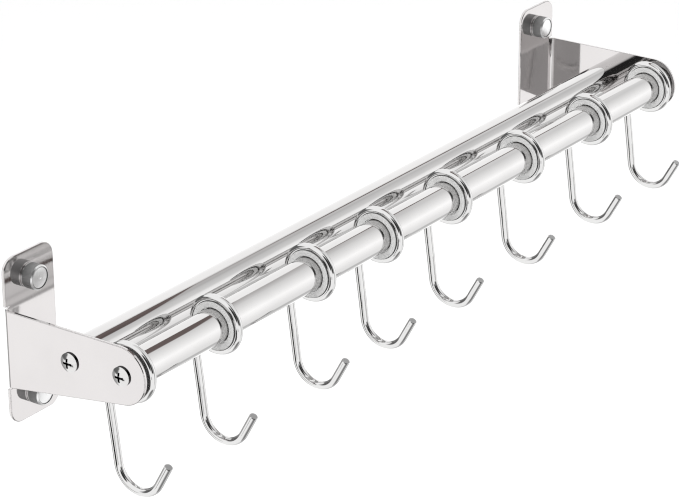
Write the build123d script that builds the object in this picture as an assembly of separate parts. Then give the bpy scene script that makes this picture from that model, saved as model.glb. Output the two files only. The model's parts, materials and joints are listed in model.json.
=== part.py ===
from build123d import *
import math
import os

# Wall-hung pot rack: two folded steel brackets carry two polished tubes, one behind the
# other, and eight wire hooks hang from the front tube on plastic bushings.
# Millimetres. The origin is the centre of the rectangle of the four wall holes, in the
# wall plane. +X runs along the rails, +Y points into the wall and +Z is up.

# Brackets, each folded from one sheet
overall_length = 519.0
sheet_thickness = 1.5
bend_radius = 2.2
plate_width = 37.0
plate_height = 91.0
plate_corner_radius = 8.0
plate_setback = 1.0
relief_width = 1.2
relief_depth = 0.6
nose_radius = 15.7
nose_setback = 1.0
arm_root_bottom = -23.7
edge_chamfer = 0.3

# Wall holes, two down the middle of each plate
hole_end_inset = 13.5
wall_hole_diameter = 5.5

# Rails, measured out from the wall and up from the holes' centre
rail_diameter = 19.0
rail_wall = 1.0
rear_rail_out = 43.5
rear_rail_height = 2.2
front_rail_out = 76.7
front_rail_height = 3.6

# Plugs pressed into the rail ends, and the screws that hold the rails to the arms
plug_length = 15.0
plug_clearance = 0.1
plug_chamfer = 1.0
plug_groove_width = 1.2
plug_groove_depth = 0.5
plug_groove_places = (4.5, 9.0)
screw_diameter = 4.9
screw_length = 13.0
screw_head_diameter = 10.4
screw_head_height = 2.6
screw_head_rim = 0.9
screw_hole_clearance = 0.25
thread_clearance = 0.05
recess_span = 5.6
recess_width = 1.3
recess_depth = 1.6
recess_taper = 12.0

# Caps over the wall screws, and the washers that they snap onto
cap_diameter = 13.4
cap_height = 7.4
cap_wall = 0.8
cap_chamfer = 0.7
cap_base_chamfer = 0.45
cap_rim_width = 0.4
cap_dome_drop = 0.3
cap_dome_rise = 0.45
cap_fit = 0.1
washer_height = 3.0
washer_hole_diameter = 4.4
countersink_depth = 1.6
countersink_flare = 1.8

# Hooks, each bent from one wire: a ring round the rail, a shank and a J
wire_diameter = 4.54
neck_angle = 5.0
neck_step = 1.88
shank_lean = 7.3
elbow_radius = 14.0
bend_drop = 50.8
hook_radius = 13.7
tip_flare = 29.0
tip_length = 13.7
ring_closing_gap = 0.6
wire_end_chamfer = 0.3

# Bushings between the rings and the front rail
bushing_width = 5.4
bushing_floor = 1.85
bushing_lip = 3.5
bushing_running_gap = 0.3
bushing_wire_gap = 0.2
bushing_edge_chamfer = 0.3

# Where each hook has been pushed to, as a share of its bushing's run from the left arm
hook_shares = (0.0035, 0.1379, 0.2955, 0.4185, 0.5511, 0.7009, 0.8512, 0.9900)

half_length = overall_length / 2
rail_radius = rail_diameter / 2
rail_bore = rail_radius - rail_wall
wire_radius = wire_diameter / 2
bend_outer_radius = bend_radius + sheet_thickness
bushing_bore = rail_radius + bushing_running_gap
ring_radius = bushing_bore + bushing_floor + bushing_wire_gap + wire_radius
shank_offset = ring_radius + neck_step
rail_axes = {
    "rear": (-rear_rail_out, rear_rail_height),
    "front": (-front_rail_out, front_rail_height),
}
hole_x = half_length - plate_setback - plate_width / 2
hole_z = plate_height / 2 - hole_end_inset
wall_holes = [(x, z) for x in (-hole_x, hole_x) for z in (-hole_z, hole_z)]


def save(shape, name):
    export_step(shape, f"parts/{name}.step")


def tangent_point(start, centre, radius):
    """Where the lower tangent from a point meets a circle, in one plane."""
    dx, dy = centre[0] - start[0], centre[1] - start[1]
    distance = math.hypot(dx, dy)
    angle = math.atan2(dy, dx) - math.asin(radius / distance)
    reach = math.sqrt(distance**2 - radius**2)
    return (start[0] + reach * math.cos(angle), start[1] + reach * math.sin(angle))


def arm_outline():
    """The arm's side view, in distance out from the wall and height: level on top,
    rounded about the front rail's end, and rising underneath."""
    centre = (front_rail_out - nose_setback, front_rail_height)
    top = centre[1] + nose_radius
    root = (0, arm_root_bottom)
    underside = tangent_point(root, centre, nose_radius)
    nose = (centre[0] + nose_radius, centre[1])
    with BuildSketch() as outline:
        with BuildLine():
            Line((0, top), (centre[0], top))
            ThreePointArc((centre[0], top), nose, underside)
            Line(underside, root)
            Line(root, (0, top))
        make_face()
    return outline.sketch, top


def fold_section():
    """The fold seen from above: the arm, the quarter-round bend and a leg that runs
    into the plate. x is inwards from the arm's outer face, y is into the wall."""
    arm_reach = front_rail_out + nose_radius
    arm = Pos(0, -arm_reach) * Rectangle(
        sheet_thickness, arm_reach - bend_outer_radius, align=(Align.MIN, Align.MIN)
    )
    bend_centre = Pos(bend_outer_radius, -bend_outer_radius)
    ring = Circle(bend_outer_radius) - Circle(bend_radius)
    quarter = Rectangle(
        bend_outer_radius, bend_outer_radius, align=(Align.MAX, Align.MIN)
    )
    leg = Pos(bend_outer_radius, 0) * Rectangle(
        2 * relief_depth, sheet_thickness, align=(Align.MIN, Align.MAX)
    )
    return arm + bend_centre * (ring & quarter) + leg


def wall_plate(arm_top):
    """The flat plate, notched where the arm folds away and relieved at both ends of
    the bend."""
    face = Plane(origin=(0, 0, 0), x_dir=(1, 0, 0), z_dir=(0, -1, 0))
    outline = Pos(plate_setback + plate_width / 2, 0) * RectangleRounded(
        plate_width, plate_height, plate_corner_radius
    )
    plate = extrude(face * outline, sheet_thickness)
    plate = chamfer(plate.faces().sort_by(Axis.Y)[0].edges(), edge_chamfer)
    notch = Pos(0, arm_root_bottom) * Rectangle(
        bend_outer_radius, arm_top - arm_root_bottom, align=(Align.MIN, Align.MIN)
    )
    plate -= extrude(face * notch, sheet_thickness)
    relief_reach = bend_outer_radius + relief_depth - relief_width / 2
    for z in (arm_top + relief_width / 2, arm_root_bottom - relief_width / 2):
        slot = Pos(0, z) * Rectangle(
            relief_reach, relief_width, align=(Align.MIN, Align.CENTER)
        )
        round_end = Pos(relief_reach, z) * Circle(relief_width / 2)
        plate -= extrude(face * (slot + round_end), sheet_thickness)
    return plate


def folded_arm(outline):
    """The arm with its bend and leg, its outer edges broken."""
    side_view = Plane(origin=(0, 0, 0), x_dir=(0, -1, 0), z_dir=(-1, 0, 0))
    side_prism = extrude(side_view * outline, plate_width, both=True)
    fold = extrude(fold_section(), plate_height, both=True) & side_prism
    outer_face = fold.faces().sort_by(Axis.X)[0]
    outer_edges = outer_face.edges().filter_by(Axis.Z, reverse=True)
    return chamfer(outer_edges, edge_chamfer)


def cross_hole(diameter):
    """A drill through one sheet, along z."""
    return Cylinder(diameter / 2, 3 * sheet_thickness)


def bracket():
    """The left bracket, with x measured inwards from the arm's outer face."""
    outline, arm_top = arm_outline()
    sheet = folded_arm(outline) + wall_plate(arm_top)
    for x, z in wall_holes[:2]:
        sheet -= Pos(x + half_length, 0, z) * Rot(90, 0, 0) * cross_hole(
            wall_hole_diameter
        )
    screw_hole = cross_hole(screw_diameter + 2 * screw_hole_clearance)
    for y, z in rail_axes.values():
        sheet -= Pos(0, y, z) * Rot(0, 90, 0) * screw_hole
    return sheet


def rail():
    tube_length = overall_length - 2 * sheet_thickness
    tube = Cylinder(rail_radius, tube_length) - Cylinder(rail_bore, tube_length)
    return Rot(0, 90, 0) * tube


def rail_plug():
    """A plug with its outer face at z = 0 and its body below, tapped for the screw."""
    radius = rail_bore - plug_clearance
    plug = Pos(0, 0, -plug_length / 2) * Cylinder(radius, plug_length)
    plug = chamfer(plug.edges().sort_by(Axis.Z)[0], plug_chamfer)
    for place in plug_groove_places:
        groove = Cylinder(radius, plug_groove_width) - Cylinder(
            radius - plug_groove_depth, plug_groove_width
        )
        plug -= Pos(0, 0, -place) * groove
    thread = Cylinder(screw_diameter / 2 + thread_clearance, 3 * plug_length)
    return plug - thread


def cross_recess():
    """The screw's cross-shaped driver recess, below z = 0 and narrower at its floor."""
    cross = Rectangle(recess_span, recess_width) + Rectangle(recess_width, recess_span)
    return extrude(cross, -recess_depth, taper=recess_taper)


def dome(rim, top):
    """An arc from a rim point in to the axis, centred on the axis, for revolving."""
    width, foot = rim
    rise = top - foot
    radius = (width**2 + rise**2) / (2 * rise)
    half_turn = math.asin(width / radius) / 2
    middle = (radius * math.sin(half_turn), top - radius * (1 - math.cos(half_turn)))
    return ThreePointArc(rim, middle, (0, top))


def rail_screw():
    """A pan-head machine screw with the underside of its head at z = 0."""
    head_radius = screw_head_diameter / 2
    shank_radius = screw_diameter / 2
    with BuildSketch(Plane.XZ) as half:
        with BuildLine():
            Line((0, -screw_length), (shank_radius, -screw_length))
            Line((shank_radius, -screw_length), (shank_radius, 0))
            Line((shank_radius, 0), (head_radius, 0))
            Line((head_radius, 0), (head_radius, screw_head_rim))
            dome((head_radius, screw_head_rim), screw_head_height)
            Line((0, screw_head_height), (0, -screw_length))
        make_face()
    screw = revolve(half.sketch, Axis.Z)
    return screw - Pos(0, 0, screw_head_height) * cross_recess()


def screw_cap():
    """A hollow cap, open at z = 0, with a raised rim round a domed face."""
    outer = cap_diameter / 2
    inner = outer - cap_wall
    rim_inside = outer - cap_chamfer - cap_rim_width
    face = cap_height - cap_dome_drop
    inside = face - cap_wall
    with BuildSketch(Plane.XZ) as half:
        with BuildLine():
            Line((inner, 0), (outer - cap_base_chamfer, 0))
            Line((outer - cap_base_chamfer, 0), (outer, cap_base_chamfer))
            Line((outer, cap_base_chamfer), (outer, cap_height - cap_chamfer))
            Line((outer, cap_height - cap_chamfer), (outer - cap_chamfer, cap_height))
            Line((outer - cap_chamfer, cap_height), (rim_inside, cap_height))
            Line((rim_inside, cap_height), (rim_inside, face))
            dome((rim_inside, face), face + cap_dome_rise)
            Line((0, face + cap_dome_rise), (0, inside))
            Line((0, inside), (inner, inside))
            Line((inner, inside), (inner, 0))
        make_face()
    return revolve(half.sketch, Axis.Z)


def cap_washer():
    """The washer under a cap: the wall screw seats in its countersink."""
    radius = cap_diameter / 2 - cap_wall - cap_fit
    hole = washer_hole_diameter / 2
    washer = Pos(0, 0, washer_height / 2) * (
        Cylinder(radius, washer_height) - Cylinder(hole, washer_height)
    )
    seat = Cone(hole, hole + countersink_flare, countersink_depth)
    washer -= Pos(0, 0, washer_height - countersink_depth / 2) * seat
    return washer


def hook_path():
    """The wire's centre line about the rail's axis, in the plane across the rails:
    the ring, a neck off its wall side, the leaning shank, the J and its straight tip.
    The first axis points to the wall and the second is up."""
    lean = math.radians(shank_lean)
    across = Vector(math.cos(lean), -math.sin(lean))
    down = Vector(-math.sin(lean), -math.cos(lean))
    leave = math.radians(neck_angle)
    neck_start = Vector(ring_radius * math.cos(leave), ring_radius * math.sin(leave))
    neck_way = Vector(math.sin(leave), -math.cos(leave))
    to_shank = shank_offset - neck_start.dot(across)
    elbow = neck_start + neck_way * (to_shank / neck_way.dot(across))
    bend_start = across * shank_offset + down * bend_drop
    close = math.degrees(
        math.acos(
            (shank_offset - wire_radius - ring_closing_gap) / (ring_radius + wire_radius)
        )
    )
    ring_turn = 360 - shank_lean - close - neck_angle
    with BuildLine() as path:
        CenterArc((0, 0), ring_radius, neck_angle, ring_turn)
        FilletPolyline(neck_start, elbow, bend_start, radius=elbow_radius)
        bend = JernArc(bend_start, down, hook_radius, -(180 - shank_lean - tip_flare))
        Line(bend @ 1, bend @ 1 + bend % 1 * tip_length)
    return Plane.YZ * path.wire()


def hook():
    path = hook_path()
    section = Plane(origin=path @ 0, z_dir=path % 0) * Circle(wire_radius)
    wire = sweep(section, path)
    return chamfer(wire.faces().filter_by(GeomType.PLANE).edges(), wire_end_chamfer)


def bushing():
    """A ring with a groove for the wire outside and the rail's bore inside."""
    section = Pos(0, bushing_bore) * Rectangle(
        bushing_width, bushing_lip, align=(Align.CENTER, Align.MIN)
    )
    section -= Pos(0, ring_radius) * Circle(wire_radius + bushing_wire_gap)
    solid = revolve(section, Axis.X)
    bore_edges = solid.edges().filter_by(GeomType.CIRCLE).filter_by(
        lambda edge: edge.radius < bushing_bore + bushing_floor / 2
    )
    return chamfer(bore_edges, bushing_edge_chamfer)


def build_brackets():
    left = Pos(-half_length, 0, 0) * bracket()
    save(left, "left_bracket")
    save(mirror(left, Plane.YZ), "right_bracket")


def build_rails():
    screws = []
    for name, (y, z) in rail_axes.items():
        save(Pos(0, y, z) * rail(), f"{name}_rail")
        for side, way in (("left", -1), ("right", 1)):
            outwards = Rot(0, 90 * way, 0)
            inner_face = Pos(way * (half_length - sheet_thickness), y, z)
            save(inner_face * outwards * rail_plug(), f"{name}_rail_{side}_plug")
            outer_face = Pos(way * half_length, y, z)
            screws.append(outer_face * outwards * rail_screw())
    save(Compound(children=screws), "rail_screws")


def build_wall_caps():
    out_of_wall = Rot(90, 0, 0)
    for x, z in wall_holes:
        side = "left" if x < 0 else "right"
        level = "lower" if z < 0 else "upper"
        seat = Pos(x, -sheet_thickness, z)
        save(seat * out_of_wall * cap_washer(), f"{side}_{level}_cap_washer")
        save(seat * out_of_wall * screw_cap(), f"{side}_{level}_screw_cap")


def build_hooks():
    y, z = rail_axes["front"]
    run_end = half_length - sheet_thickness - bushing_width / 2
    for number, share in enumerate(hook_shares, start=1):
        on_rail = Pos((2 * share - 1) * run_end, y, z)
        save(on_rail * bushing(), f"bushing_{number}")
        save(on_rail * hook(), f"hook_{number}")


os.makedirs("parts", exist_ok=True)
build_brackets()
build_rails()
build_wall_caps()
build_hooks()
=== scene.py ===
# %% [markdown]
# # A wall-hung pot rack with eight sliding hooks
# This lesson dresses a finished CAD model of a pot rack in Blender. The real rack is two folded,
# mirror-polished steel brackets with two polished tubes between them, and on the front tube eight
# plastic bushings, each carrying one bent wire hook. The solids arrive with their true sizes, so
# nothing is modelled again here. The work is the camera, the studio round the rack and its finishes.

# %% Load the model
import json
import math

import bpy
from mathutils import Matrix, Vector

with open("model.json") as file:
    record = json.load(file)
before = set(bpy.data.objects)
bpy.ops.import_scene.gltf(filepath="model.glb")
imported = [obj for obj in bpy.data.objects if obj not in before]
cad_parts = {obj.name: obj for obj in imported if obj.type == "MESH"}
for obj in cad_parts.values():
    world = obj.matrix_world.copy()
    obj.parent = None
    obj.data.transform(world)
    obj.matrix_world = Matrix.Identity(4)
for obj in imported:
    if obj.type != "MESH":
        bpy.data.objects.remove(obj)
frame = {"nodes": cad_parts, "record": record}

scene = bpy.context.scene
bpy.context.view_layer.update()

# %% [markdown]
# ## The camera
# The photograph was taken with a long lens from the rack's left, a little above it. The camera could be
# aimed with a tracking constraint, but the rack has long parallel rails, which show an error of a tenth
# of a degree. So the direction is given as two angles and a small roll, and the three camera axes are
# built from them. Blender's camera looks along its own minus Z, so its Z axis points back from the rack.
# The renderer softens edges over 1.5 pixels by itself, and 1.2 pixels keeps the thin wires crisp.

# %% Camera
camera_place = Vector((-1.1906, -0.8809, 0.5872))
camera_azimuth = math.radians(-54.138)
camera_elevation = math.radians(22.892)
camera_roll = math.radians(-0.421)
camera_lens = 147.98
sensor_width = 36.0
edge_softness = 1.2

back = Vector((
    math.sin(camera_azimuth) * math.cos(camera_elevation),
    -math.cos(camera_azimuth) * math.cos(camera_elevation),
    math.sin(camera_elevation),
))
level_right = Vector((0, 0, 1)).cross(back).normalized()
level_up = back.cross(level_right)
right = math.cos(camera_roll) * level_right + math.sin(camera_roll) * level_up
up = math.cos(camera_roll) * level_up - math.sin(camera_roll) * level_right

camera = bpy.data.objects.new("photo_camera", bpy.data.cameras.new("photo_camera"))
scene.collection.objects.link(camera)
camera.data.lens = camera_lens
camera.data.sensor_width = sensor_width
camera.matrix_world = Matrix.Translation(camera_place) @ Matrix((right, up, back)).transposed().to_4x4()
scene.camera = camera
scene.cycles.filter_width = edge_softness
print("camera distance", round(camera_place.length, 3), "m")

# %% [markdown]
# ## The floor and the key light
# A rack like this hangs at about eye height, so its floor is 1.6 m below it. Being that far away, the
# floor takes no shadow that can be seen. A mirror finish would also mirror the floor, so the floor is
# hidden from reflections, and the tent of light in the next steps stands in for it there. One large
# soft light overhead brings the floor up to white and shades the plastic. Reflections skip it too.

# %% Floor
floor_drop = 1.6
floor_size = 60.0
floor_white = (0.92, 0.92, 0.92, 1)
floor_roughness = 0.9


def plane_mesh(name, width, depth):
    """A flat rectangle round the origin."""
    half_x = width / 2
    half_y = depth / 2
    corners = [(-half_x, -half_y, 0), (half_x, -half_y, 0), (half_x, half_y, 0), (-half_x, half_y, 0)]
    mesh = bpy.data.meshes.new(name)
    mesh.from_pydata(corners, [], [(0, 1, 2, 3)])
    return mesh


def place(name, data, location):
    """Puts new data into the scene as an object."""
    made = bpy.data.objects.new(name, data)
    scene.collection.objects.link(made)
    made.location = location
    return made


floor = place("floor", plane_mesh("floor", floor_size, floor_size), (0, 0, -floor_drop))
floor.visible_glossy = False

floor_paint = bpy.data.materials.new("floor_paint")
floor_paint.use_nodes = True
floor_shader = floor_paint.node_tree.nodes["Principled BSDF"]
floor_shader.inputs["Base Color"].default_value = floor_white
floor_shader.inputs["Roughness"].default_value = floor_roughness
floor.data.materials.append(floor_paint)
print("floor", floor_size, "m wide,", floor_drop, "m down")

# %% Key light
key_place = (-0.3, -0.6, 2.2)
key_size = 3.0
key_power = 90.0

key_light = place("key_light", bpy.data.lights.new("key_light", "AREA"), key_place)
key_light.data.size = key_size
key_light.data.energy = key_power
key_light.visible_glossy = False
print("key light", key_size, "m wide")

# %% [markdown]
# ## Helpers for node trees
# Every finish and the studio itself are node trees. Writing each node and link in full makes long
# cells, so one short helper adds a node, sets its inputs and links whatever it is given. The others
# name the few nodes that come again and again.

# %% Node helpers
def add(tree, kind, inputs=None, **settings):
    """Adds a node. An input may be a number, a colour or another node's output socket."""
    made = tree.nodes.new(kind)
    for key, value in settings.items():
        setattr(made, key, value)
    for key, value in (inputs or {}).items():
        if isinstance(value, bpy.types.NodeSocket):
            tree.links.new(value, made.inputs[key])
        else:
            made.inputs[key].default_value = value
    return made


def calc(tree, operation, first, second=0.0):
    """One Math node's result."""
    return add(tree, "ShaderNodeMath", {0: first, 1: second}, operation=operation).outputs[0]


def vector_calc(tree, operation, first, second=(0, 0, 0)):
    """One Vector Math node's result: a number for a length or a dot product, otherwise a vector."""
    made = add(tree, "ShaderNodeVectorMath", {0: first, 1: second}, operation=operation)
    return made.outputs["Value" if operation in ("LENGTH", "DOT_PRODUCT") else "Vector"]


def coordinate(tree, kind):
    """Where a surface is (Object), which way it faces (Normal) or which way a ray went (Generated)."""
    return add(tree, "ShaderNodeTexCoord").outputs[kind]


def split(tree, vector):
    """A vector's three parts, X, Y and Z."""
    return add(tree, "ShaderNodeSeparateXYZ", {0: vector}).outputs


def fade(tree, value, start, end):
    """0 before start, 1 after end and a soft step between them."""
    made = add(tree, "ShaderNodeMapRange", {"Value": value, "From Min": start, "From Max": end})
    made.interpolation_type = "SMOOTHSTEP"
    return made.outputs["Result"]


def window(tree, value, centre, half_width, soft):
    """1 within half_width of centre, and a soft fall to 0 beyond it."""
    away = calc(tree, "ABSOLUTE", calc(tree, "SUBTRACT", value, centre))
    return fade(tree, away, half_width + soft, half_width)


print("node helpers ready")

# %% [markdown]
# ## Helpers for colour
# A grey is one number three times, a mix takes one colour or another by a mask, and a ramp turns a
# number into a colour through a row of stops, which are given in rising order.

# %% Colour helpers
def grey(tone):
    """A grey colour."""
    return (tone, tone, tone, 1)


def mix(tree, mask, first, second):
    """The first colour where a mask is 0 and the second where it is 1."""
    return add(tree, "ShaderNodeMix", {"Factor": mask, 6: first, 7: second}, data_type="RGBA").outputs[2]


def ramp(tree, value, stops):
    """A colour ramp through pairs of a place and a colour."""
    made = add(tree, "ShaderNodeValToRGB", {"Fac": value})
    points = made.color_ramp.elements
    while len(points) < len(stops):
        points.new(0.5)
    for point, (place_on_ramp, colour) in zip(points, stops):
        point.position = place_on_ramp
        point.color = colour
    return made.outputs["Color"]


print("colour helpers ready")

# %% [markdown]
# ## The tent of light
# Polished steel has almost no look of its own: what it shows is the room. A product photographer
# puts such a thing in a white tent, and every soft band on the rails is a seam or a panel of the tent.
# Area lights could stand for the panels, but the gaps between them would show up black. So the tent
# is the world's background: one ramp of brightness, wound round the rails' own direction, because a
# rail mirrors each turn of that ramp as one straight band. Towards the near end it fades to one tone.

# %% Tent bands
# Each stop has an angle in degrees round the rails, from the room side at 0, by overhead at 90, to the
# wall side at 180, and a tone.
tent_bands = [
    (-180, 0.88), (-122, 0.92), (-100, 0.54), (-82, 0.47), (-78, 0.53), (-72, 0.78), (-45, 0.86),
    (-15, 1.00), (2, 1.08), (20, 0.96), (42, 0.84), (66, 0.72), (80, 0.65), (104, 0.68),
    (110, 0.92), (180, 0.88),
]
plain_tone = 0.92
bands_start = -0.35
bands_full = 0.25

world = scene.world or bpy.data.worlds.new("tent")
scene.world = world
world.use_nodes = True
tent = world.node_tree
tent.nodes.clear()

along, inward, height = split(tent, coordinate(tent, "Generated"))
turn = calc(tent, "ARCTAN2", height, calc(tent, "MULTIPLY", inward, -1.0))
turn_share = calc(tent, "ADD", calc(tent, "DIVIDE", turn, 2 * math.pi), 0.5)
bands = ramp(tent, turn_share, [(angle / 360 + 0.5, grey(tone)) for angle, tone in tent_bands])
tent_colour = mix(tent, fade(tent, along, bands_start, bands_full), grey(plain_tone), bands)
print("tent bands", len(tent_bands))

# %% [markdown]
# ## Panels in the tent
# The hooks, their rings and the caps curve other ways than the rails, so they mirror parts of the tent
# that the rails don't show in this view. Grey and nearly black panels there draw their dark lines. The
# lines could be painted on the steel, but then they would stay put when a hook swings.

# %% Tent panels
# Each panel has a bearing in degrees, from the rails' far end at 0 to the wall side at 90, and a height
# from -1 below to 1 above, both as a middle, half width and soft edge, and then a tone.
tent_panels = [
    ((-67, 4, 9), (-0.10, 0.40, 0.20), 0.30),
    ((80, 25, 12), (-0.40, 0.25, 0.15), 0.35),
    ((95, 35, 12), (0.10, 0.22, 0.08), 0.12),
    ((-150, 6, 6), (-0.335, 0.035, 0.035), 0.42),
    ((-110, 35, 40), (-0.92, 0.08, 0.06), 0.22),
    ((-100, 14, 14), (0.45, 0.45, 0.12), 0.04),
]

bearing = calc(tent, "ARCTAN2", inward, along)
for bearing_span, height_span, tone in tent_panels:
    sideways = window(tent, bearing, *(math.radians(angle) for angle in bearing_span))
    panel = calc(tent, "MULTIPLY", sideways, window(tent, height, *height_span))
    tent_colour = mix(tent, panel, tent_colour, grey(tone))
print("tent panels", len(tent_panels))

# %% [markdown]
# ## The opening and the backdrop
# The tent has one opening, which the camera looked through. Rings and screw heads mirror it as a dark
# patch where they face it. It stays where the photograph was taken, whichever way the rack is looked
# at later. Camera rays see plain white instead of the tent, as on the white page of a catalogue.

# %% Opening and backdrop
opening_edge = math.radians(27)
opening_core = math.radians(19)
opening_tone = 0.03
tent_strength = 1.5
page_white = (1, 1, 1, 1)

towards_opening = vector_calc(tent, "DOT_PRODUCT", coordinate(tent, "Generated"), tuple(back))
opening = fade(tent, towards_opening, math.cos(opening_edge), math.cos(opening_core))
tent_colour = mix(tent, opening, tent_colour, grey(opening_tone))
seen_by_camera = add(tent, "ShaderNodeLightPath").outputs["Is Camera Ray"]
backdrop = mix(tent, seen_by_camera, tent_colour, page_white)
tent_light = add(tent, "ShaderNodeBackground", {"Color": backdrop, "Strength": tent_strength})
add(tent, "ShaderNodeOutputWorld", {"Surface": tent_light.outputs[0]})
scene.view_settings.view_transform = "Standard"
print("opening", round(math.degrees(2 * opening_edge)), "degrees wide")

# %% [markdown]
# ## The dark card and the rod overhead
# Close to the near bracket both rails turn dark brown on top, and further along they don't. The tent
# is endlessly far away and would darken the whole length alike. So this is a real card, 0.25 m above
# the rails, whose tone fades out along its length. Lower down hangs a rod of the tent's frame, which
# draws one thin dark line along each rail. The camera sees neither of them, only reflections do.

# %% Overhead helpers
def overhead(name, length, width, centre, height_above):
    """A flat card that only reflections see, with its empty paint and its own two coordinates."""
    card = place(name, plane_mesh(name, length, width), (*centre, height_above))
    card.visible_camera = False
    card.visible_diffuse = False
    card.visible_shadow = False
    paint = bpy.data.materials.new(name)
    paint.use_nodes = True
    paint.node_tree.nodes.clear()
    card.data.materials.append(paint)
    spot = split(paint.node_tree, coordinate(paint.node_tree, "Object"))
    return paint.node_tree, spot["X"], spot["Y"]


def cover_with(tree, colour, cover):
    """Paints a card where its cover is 1 and leaves it clear where it is 0."""
    glow = add(tree, "ShaderNodeEmission", {"Color": colour, "Strength": 1.0})
    clear = add(tree, "ShaderNodeBsdfTransparent")
    covered = add(tree, "ShaderNodeMixShader", {0: cover, 1: clear.outputs[0], 2: glow.outputs[0]})
    add(tree, "ShaderNodeOutputMaterial", {"Surface": covered.outputs[0]})


print("overhead helpers ready")

# %% Overhead card
# A dark wedge lies over the near end. Beyond its slanted edge is a faint tail, which deepens towards
# the near end and the wall. Each pair of numbers is where an edge or the tail starts and is full.
card_height = 0.25
card_length = 0.70
card_width = 0.24
card_centre = (0.30, -0.06)
card_brown = (0.21, 0.168, 0.162, 1)
room_edge = (-0.095, -0.065)
wall_edge = (0.064, 0.060)
slant = 2.5
slanted_edge = (0.575, 0.615)
tail_along = (0.10, -0.22)
tail_across = (-0.11, 0.08)
tail_depth = 0.5

tree, card_along, card_across = overhead("overhead_card", card_length, card_width, card_centre, card_height)
past_slant = calc(tree, "SUBTRACT", card_across, calc(tree, "MULTIPLY", card_along, slant))
wedge = calc(tree, "MULTIPLY", fade(tree, card_across, *room_edge), fade(tree, past_slant, *slanted_edge))
tail = calc(tree, "MULTIPLY", fade(tree, card_along, *tail_along), fade(tree, card_across, *tail_across))
wedge_and_tail = calc(tree, "MAXIMUM", wedge, calc(tree, "MULTIPLY", tail, tail_depth))
cover_with(tree, card_brown, calc(tree, "MULTIPLY", fade(tree, card_across, *wall_edge), wedge_and_tail))
print("card", card_length, "by", card_width, "m at", card_height, "m")

# %% Overhead rod
# The line across the rod and the run along it each have a middle, a half width and a soft edge.
rod_height = 0.18
rod_length = 0.48
rod_width = 0.03
rod_centre = (0.26, -0.0216)
rod_line = (0.0, 0.009, 0.004)
rod_run = (0.0, 0.10, 0.14)

tree, rod_along, rod_across = overhead("overhead_rod", rod_length, rod_width, rod_centre, rod_height)
rod = calc(tree, "MULTIPLY", window(tree, rod_across, *rod_line), window(tree, rod_along, *rod_run))
cover_with(tree, card_brown, rod)
print("rod", rod_length, "m long at", rod_height, "m")

# %% [markdown]
# ## The black flag
# A wire in an all white tent would all but vanish, so a photographer stands a narrow black flag beside
# it. Every hook then gets one dark line down its left side, which is what makes it read as round. The
# flag stands 1 m from the rack's middle, beyond the near end, and is turned to face the hooks. It is
# low, so that the brackets' arms, which face it squarely, don't mirror it when seen from the side.

# %% Flag
flag_distance = 1.0
flag_inner = -0.12
flag_outer = 0.50
flag_low = -0.60
flag_high = -0.33
flag_black = grey(0.004)

flag = place(
    "black_flag", plane_mesh("black_flag", flag_high - flag_low, flag_outer - flag_inner),
    (-flag_distance, (flag_inner + flag_outer) / 2, (flag_low + flag_high) / 2),
)
flag.rotation_euler = (0, math.radians(90), 0)
flag.visible_camera = False
flag.visible_diffuse = False
flag.visible_shadow = False

flag_cloth = bpy.data.materials.new("flag_cloth")
flag_cloth.use_nodes = True
tree = flag_cloth.node_tree
tree.nodes.clear()
flag_glow = add(tree, "ShaderNodeEmission", {"Color": flag_black, "Strength": 1.0})
add(tree, "ShaderNodeOutputMaterial", {"Surface": flag_glow.outputs[0]})
flag.data.materials.append(flag_cloth)
print("flag", round(flag_outer - flag_inner, 2), "m wide")

# %% [markdown]
# ## Noise for finishes
# No real surface is one colour or one gloss. A photograph of steel could be laid over the model, but
# noise in the object's own coordinates needs no picture, has no seams and can be stretched into grain.
# Noise stays near its middle value, so it is spread out before it is used.

# %% Noise helpers
noise_low = 0.3
noise_high = 0.7
noise_detail = 3.0


def new_finish(name):
    """A material with an empty tree and its shader and output."""
    made = bpy.data.materials.new(name)
    made.use_nodes = True
    made.node_tree.nodes.clear()
    shader = add(made.node_tree, "ShaderNodeBsdfPrincipled")
    add(made.node_tree, "ShaderNodeOutputMaterial", {"Surface": shader.outputs[0]})
    return made, made.node_tree, shader


def stretched_noise(tree, scale, stretch=(1, 1, 1), detail=noise_detail):
    """Noise in the object's own coordinates, drawn out along an axis by a small stretch value."""
    where = add(tree, "ShaderNodeMapping", {"Vector": coordinate(tree, "Object"), "Scale": stretch})
    noise = add(tree, "ShaderNodeTexNoise", {"Vector": where.outputs[0], "Scale": scale, "Detail": detail})
    return noise.outputs["Fac"]


def between(tree, value, low, high):
    """Spreads noise out to a range."""
    return add(tree, "ShaderNodeMapRange", {
        "Value": value, "From Min": noise_low, "From Max": noise_high, "To Min": low, "To Max": high,
    }).outputs["Result"]


def tinted(tree, value, stops, tone, tint):
    """A tone that drifts with a noise, from a share of itself at the first stop to its full value."""
    return ramp(tree, value, [(stops[0], (*(tint * c for c in tone), 1)), (stops[1], (*tone, 1))])


print("noise helpers ready")

# %% [markdown]
# ## Polished steel
# Up close polished steel isn't a perfect mirror: it keeps a faint grain, a little haze, and a slow
# waviness that bends reflections. A plain metallic shader would look like computer chrome, so the
# roughness varies with two noises and two bumps of very different sizes are laid over each other.

# %% Polished steel
haze_scale = 45
haze_tint = 0.97
haze_stops = (0.35, 0.65)
grain_scale = 900
grain_haze = 0.02
grain_strength = 0.15
grain_depth = 0.00001
wave_scale = 28
wave_detail = 1.0


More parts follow.
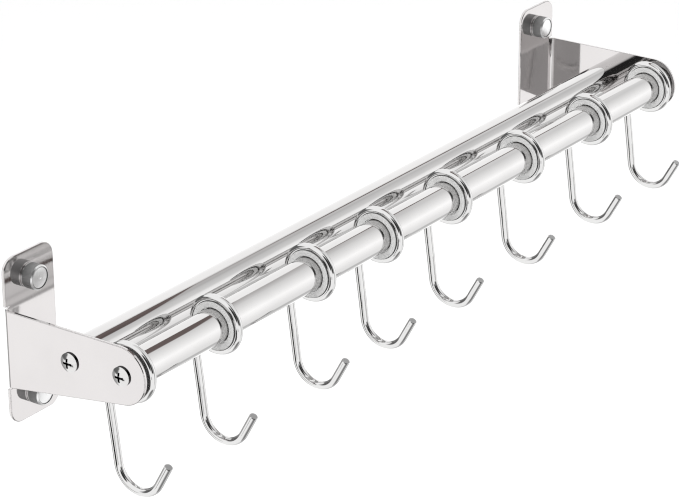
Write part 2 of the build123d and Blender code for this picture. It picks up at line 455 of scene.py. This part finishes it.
def polished_steel(name, tone, smooth, hazy, waviness, grain_stretch=(1, 1, 1)):
    """Metal with varying haze, a fine grain and a slow waviness."""
    made, tree, shader = new_finish(name)
    shader.inputs["Metallic"].default_value = 1.0
    haze = stretched_noise(tree, haze_scale)
    grain = stretched_noise(tree, grain_scale, grain_stretch)
    waves = stretched_noise(tree, wave_scale, detail=wave_detail)
    tree.links.new(tinted(tree, haze, haze_stops, tone, haze_tint), shader.inputs["Base Color"])
    tree.links.new(
        calc(tree, "ADD", between(tree, haze, smooth, hazy), between(tree, grain, 0.0, grain_haze)),
        shader.inputs["Roughness"],
    )
    slow = add(tree, "ShaderNodeBump", {"Height": waves, "Strength": 1.0, "Distance": waviness})
    fine = add(tree, "ShaderNodeBump", {
        "Height": grain, "Strength": grain_strength, "Distance": grain_depth, "Normal": slow.outputs[0],
    })
    tree.links.new(fine.outputs[0], shader.inputs["Normal"])
    return made


print("grain scale", grain_scale, "and wave scale", wave_scale)

# %% [markdown]
# ## Masks and dressing
# Several finishes differ in one place, such as a cut end, a satin edge or a band of painted shade. A
# second material on those faces would need its own mesh, so a mask, 1 in that place and 0 elsewhere,
# darkens or dulls the one material there. The last helper gives a finish to all the nodes that the
# record keeps it for.

# %% Mask and dress helpers
def shade(finish, mask, amount):
    """Takes a share off a finish's colour where a mask is 1."""
    tree = finish.node_tree
    colour = tree.nodes["Principled BSDF"].inputs["Base Color"]
    kept = calc(tree, "SUBTRACT", 1.0, calc(tree, "MULTIPLY", mask, amount))
    tree.links.new(vector_calc(tree, "MULTIPLY", colour.links[0].from_socket, kept), colour)


def roughen(finish, mask, amount):
    """Adds to a finish's roughness where a mask is 1."""
    tree = finish.node_tree
    roughness = tree.nodes["Principled BSDF"].inputs["Roughness"]
    added = calc(tree, "MULTIPLY", mask, amount)
    tree.links.new(calc(tree, "ADD", roughness.links[0].from_socket, added), roughness)


def dress(slot_name, finish):
    """Gives a finish to every node whose slot in the record has this name."""
    dressed = []
    for part in frame["record"]["subparts"]:
        if part["material_slot"] == slot_name:
            for material_slot in frame["nodes"][part["node"]].material_slots:
                material_slot.material = finish
            dressed.append(part["node"])
    print(slot_name, "on", len(dressed), "nodes")


print("mask helpers ready")

# %% [markdown]
# ## The brackets
# Each bracket is cut from mirror-finish stainless sheet, whose faint long grain comes from rolling, and
# then folded. Cutting and polishing round the metal off along its edges, which show as a satin line,
# and its darker colour is painted shade. Modelling that rounding would add thousands of faces, so a
# Bevel node finds the sharp edges.

# %% Brackets
# The last pair is how far the rounded normal agrees with the face's own, off an edge and on it.
edge_width = 0.0004
edge_shade_darkness = 0.85
edge_dullness = 0.15
edge_samples = 4
edge_agreement = (0.995, 0.93)


def dull_and_shade_edges(finish, width):
    """Turns a line along each sharp edge satin, and paints shade on it."""
    tree = finish.node_tree
    rounded = add(tree, "ShaderNodeBevel", {"Radius": width}, samples=edge_samples).outputs[0]
    flat = add(tree, "ShaderNodeNewGeometry").outputs["True Normal"]
    edge = fade(tree, vector_calc(tree, "DOT_PRODUCT", rounded, flat), *edge_agreement)
    # Painted shade: the colour is darkened along the sharp edges.
    shade(finish, edge, edge_shade_darkness)
    roughen(finish, edge, edge_dullness)


mirror_sheet = polished_steel(
    "mirror_sheet", (0.604, 0.585, 0.583), smooth=0.03, hazy=0.07, waviness=0.00004,
    grain_stretch=(1, 1, 0.08),
)
dull_and_shade_edges(mirror_sheet, edge_width)
dress("bracket_steel", mirror_sheet)

# %% [markdown]
# ## Polished tube
# The tubes are drawn and then polished along their length, so their grain lies along the rails. A
# tube's reflections run in straight bands, and too much waviness would make it look like foil. The
# rear tube's upper front side is a little darker, which is painted shade in its colour.

# %% Rails
# The rear tube lies beyond a depth between the two, and the painted shade's angles go round it, up from
# its room side.
between_rails = -0.060
shade_band_middle = math.radians(48)
shade_band_half = math.radians(7)
shade_band_soft = math.radians(8)
shade_band_start = 0.001
shade_band_darkness = 0.20

polished_tube = polished_steel(
    "polished_tube", (0.607, 0.60, 0.597), smooth=0.03, hazy=0.06, waviness=0.00001,
    grain_stretch=(0.05, 1, 1),
)
tree = polished_tube.node_tree
tube_depth = split(tree, coordinate(tree, "Object"))["Y"]
tube_facing = split(tree, coordinate(tree, "Normal"))
facing_up = calc(tree, "ARCTAN2", tube_facing["Z"], calc(tree, "MULTIPLY", tube_facing["Y"], -1.0))
rear_tube = fade(tree, tube_depth, between_rails, between_rails + shade_band_start)
painted_shade_band = calc(tree, "MULTIPLY", window(tree, facing_up, shade_band_middle, shade_band_half, shade_band_soft), rear_tube)
# Painted shade: a darker band on the rear tube's upper front side, chosen by the way the face points.
shade(polished_tube, painted_shade_band, shade_band_darkness)
dress("rail_steel", polished_tube)

# %% [markdown]
# ## Chromed wire with a raw cut end
# Each hook is one wire, cut square and then bent, and the cut tip shows duller grey metal. The eight
# hooks have the same shape, so one mask in the side view finds every tip: it is the part of the wire
# beyond the tip's own plane. The mask uses object coordinates, which turn with a hook as it swings.

# %% Hooks
# The mask fades in over a tenth of a millimetre at the tip's plane, and out beyond its reach.
tip_middle = (0.0, -0.0995, -0.0417)
tip_way = (0.0, -0.485, 0.875)
cut_plane = (-0.00015, -0.00005)
cut_reach = (0.0045, 0.004)
cut_grey = grey(0.40)
cut_roughness = 0.4


def distance_across(tree, away, directions):
    """The length of a vector, counting only the directions given as 1."""
    return vector_calc(tree, "LENGTH", vector_calc(tree, "MULTIPLY", away, directions))


chromed_wire = polished_steel(
    "chromed_wire", (0.61, 0.607, 0.605), smooth=0.02, hazy=0.05, waviness=0.00002,
)
tree = chromed_wire.node_tree
from_tip = vector_calc(tree, "SUBTRACT", coordinate(tree, "Object"), tip_middle)
past_tip = vector_calc(tree, "DOT_PRODUCT", from_tip, tip_way)
near_tip = fade(tree, distance_across(tree, from_tip, (0, 1, 1)), *cut_reach)
cut = calc(tree, "MULTIPLY", fade(tree, past_tip, *cut_plane), near_tip)
wire_colour = tree.nodes["Principled BSDF"].inputs["Base Color"]
tree.links.new(mix(tree, cut, wire_colour.links[0].from_socket, cut_grey), wire_colour)
roughen(chromed_wire, cut, cut_roughness)
dress("hook_steel", chromed_wire)

# %% [markdown]
# ## Rail screws
# The four rail screws are nickel plated, a shade darker and softer than the rails, which is how small
# plated parts come. The low rim of a pan head sits in its own shade and reads as a black line round
# the bright top, and so do the walls of the cross recess. A mask by the way a face points finds both.

# %% Screws
face_tilt = (0.5, 0.75)


def paint_side_shade(finish, axis, darkness, dullness, kept_bright=0.0):
    """Leaves the faces across an axis, and a mask, bright, paints shade on the sides and makes them duller.
    """
    tree = finish.node_tree
    across = calc(tree, "ABSOLUTE", split(tree, coordinate(tree, "Normal"))[axis])
    bright = calc(tree, "MAXIMUM", fade(tree, across, *face_tilt), kept_bright)
    sides = calc(tree, "SUBTRACT", 1.0, bright)
    shade(finish, sides, darkness)
    roughen(finish, sides, dullness)


plated_screw = polished_steel(
    "plated_screw", (0.60, 0.595, 0.59), smooth=0.10, hazy=0.18, waviness=0.00001,
)
# Painted shade: the rim and the cross recess walls are darkened by the way they face.
paint_side_shade(plated_screw, "X", darkness=0.94, dullness=0.0)
dress("screw_steel", plated_screw)

# %% [markdown]
# ## Caps
# The caps over the wall screws are pressed from chromed sheet. Pressing leaves their sides dull, and
# painted shade makes them an even grey, while the base edge, rolled against the plate, and the domed
# face stay bright. A fine dark line of painted shade runs round the face, where it drops inside the
# cap's rim. The four caps mirror each other across the rack's middle planes, so the mask folds the rack
# onto one cap by dropping the signs.

# %% Caps
# The painted shade line round the face has a radius, a half width and a soft edge. The rolled edge
# begins between two depths.
cap_middle = (0.240, 0.0, 0.032)
face_step_shade = (0.0056, 0.00018, 0.0002)
face_step_shade_darkness = 0.6
rolled_edge = (-0.0025, -0.0023)

chromed_cap = polished_steel("chromed_cap", (0.80, 0.80, 0.80), smooth=0.28, hazy=0.36, waviness=0.00001)
tree = chromed_cap.node_tree
cap_point = coordinate(tree, "Object")
rolled = fade(tree, split(tree, cap_point)["Y"], *rolled_edge)
# Painted shade darkens the sides by the way they face; the rolled base edge and the face stay bright.
paint_side_shade(chromed_cap, "Y", darkness=0.58, dullness=0.30, kept_bright=rolled)
from_cap = vector_calc(tree, "SUBTRACT", vector_calc(tree, "ABSOLUTE", cap_point), cap_middle)
# Painted shade: a thin dark ring round the face, at the step inside the rim.
shade(chromed_cap, window(tree, distance_across(tree, from_cap, (1, 0, 1)), *face_step_shade), face_step_shade_darkness)
dress("cap_steel", chromed_cap)

# %% [markdown]
# ## Moulded plastic
# Clear plastic is never even inside, so its tone drifts a little, light scatters under the surface, and
# the moulded skin has a faint orange peel. A glass shader could make real clear plastic, but it would
# be slow and noisy here, and the photograph shows it cloudy.

# %% Plastic helper
drift_scale = 180
drift_tint = 0.9
peel_scale = 1400
peel_strength = 0.3
peel_depth = 0.00002
scatter_radius = (0.002, 0.002, 0.002)


def moulded_plastic(name, tone, smooth, hazy, cloudiness):
    """Plastic with a drifting tone, some scattering and a faint orange peel."""
    made, tree, shader = new_finish(name)
    drift = stretched_noise(tree, drift_scale)
    peel = stretched_noise(tree, peel_scale)
    drifting = tinted(tree, drift, (noise_low, noise_high), tone, drift_tint)
    tree.links.new(drifting, shader.inputs["Base Color"])
    tree.links.new(between(tree, drift, smooth, hazy), shader.inputs["Roughness"])
    shader.inputs["Subsurface Weight"].default_value = cloudiness
    shader.inputs["Subsurface Radius"].default_value = scatter_radius
    shader.inputs["Subsurface Scale"].default_value = 1.0
    bump = add(tree, "ShaderNodeBump", {"Height": peel, "Strength": peel_strength, "Distance": peel_depth})
    tree.links.new(bump.outputs[0], shader.inputs["Normal"])
    return made


print("plastic helper ready")

# %% [markdown]
# ## The bushings
# The bushings are cloudy, almost clear plastic that picks up the grey of the steel round it. A dark
# line runs round each one, where the rim of its lip meets the wire and little light gets in. So the
# lip's rim, the part that is furthest from the rail's middle line, is darkened.

# %% Bushings
# The shade starts and is full at two distances from the rail's middle line.
front_rail_middle = (0.0, -0.0767, 0.0036)
shaded_rim = (0.0131, 0.0132)
rim_darkness = 0.9

cloudy_bushing = moulded_plastic(
    "cloudy_bushing", (0.70, 0.70, 0.695), smooth=0.12, hazy=0.25, cloudiness=0.2,
)
tree = cloudy_bushing.node_tree
from_rail = vector_calc(tree, "SUBTRACT", coordinate(tree, "Object"), front_rail_middle)
shade(cloudy_bushing, fade(tree, distance_across(tree, from_rail, (0, 1, 1)), *shaded_rim), rim_darkness)
dress("bushing_plastic", cloudy_bushing)

# %% [markdown]
# ## Plugs and washers
# These sit inside the rails and the caps, where nothing shows them. They still get a finish of their
# own, plain nylon, because the model may be opened up or reused.

# %% Plugs and washers
white_nylon = moulded_plastic("white_nylon", (0.80, 0.80, 0.78), smooth=0.4, hazy=0.55, cloudiness=0.1)
dress("washer_plastic", white_nylon)
black_nylon = moulded_plastic("black_nylon", (0.03, 0.03, 0.032), smooth=0.4, hazy=0.55, cloudiness=0.0)
dress("plug_plastic", black_nylon)
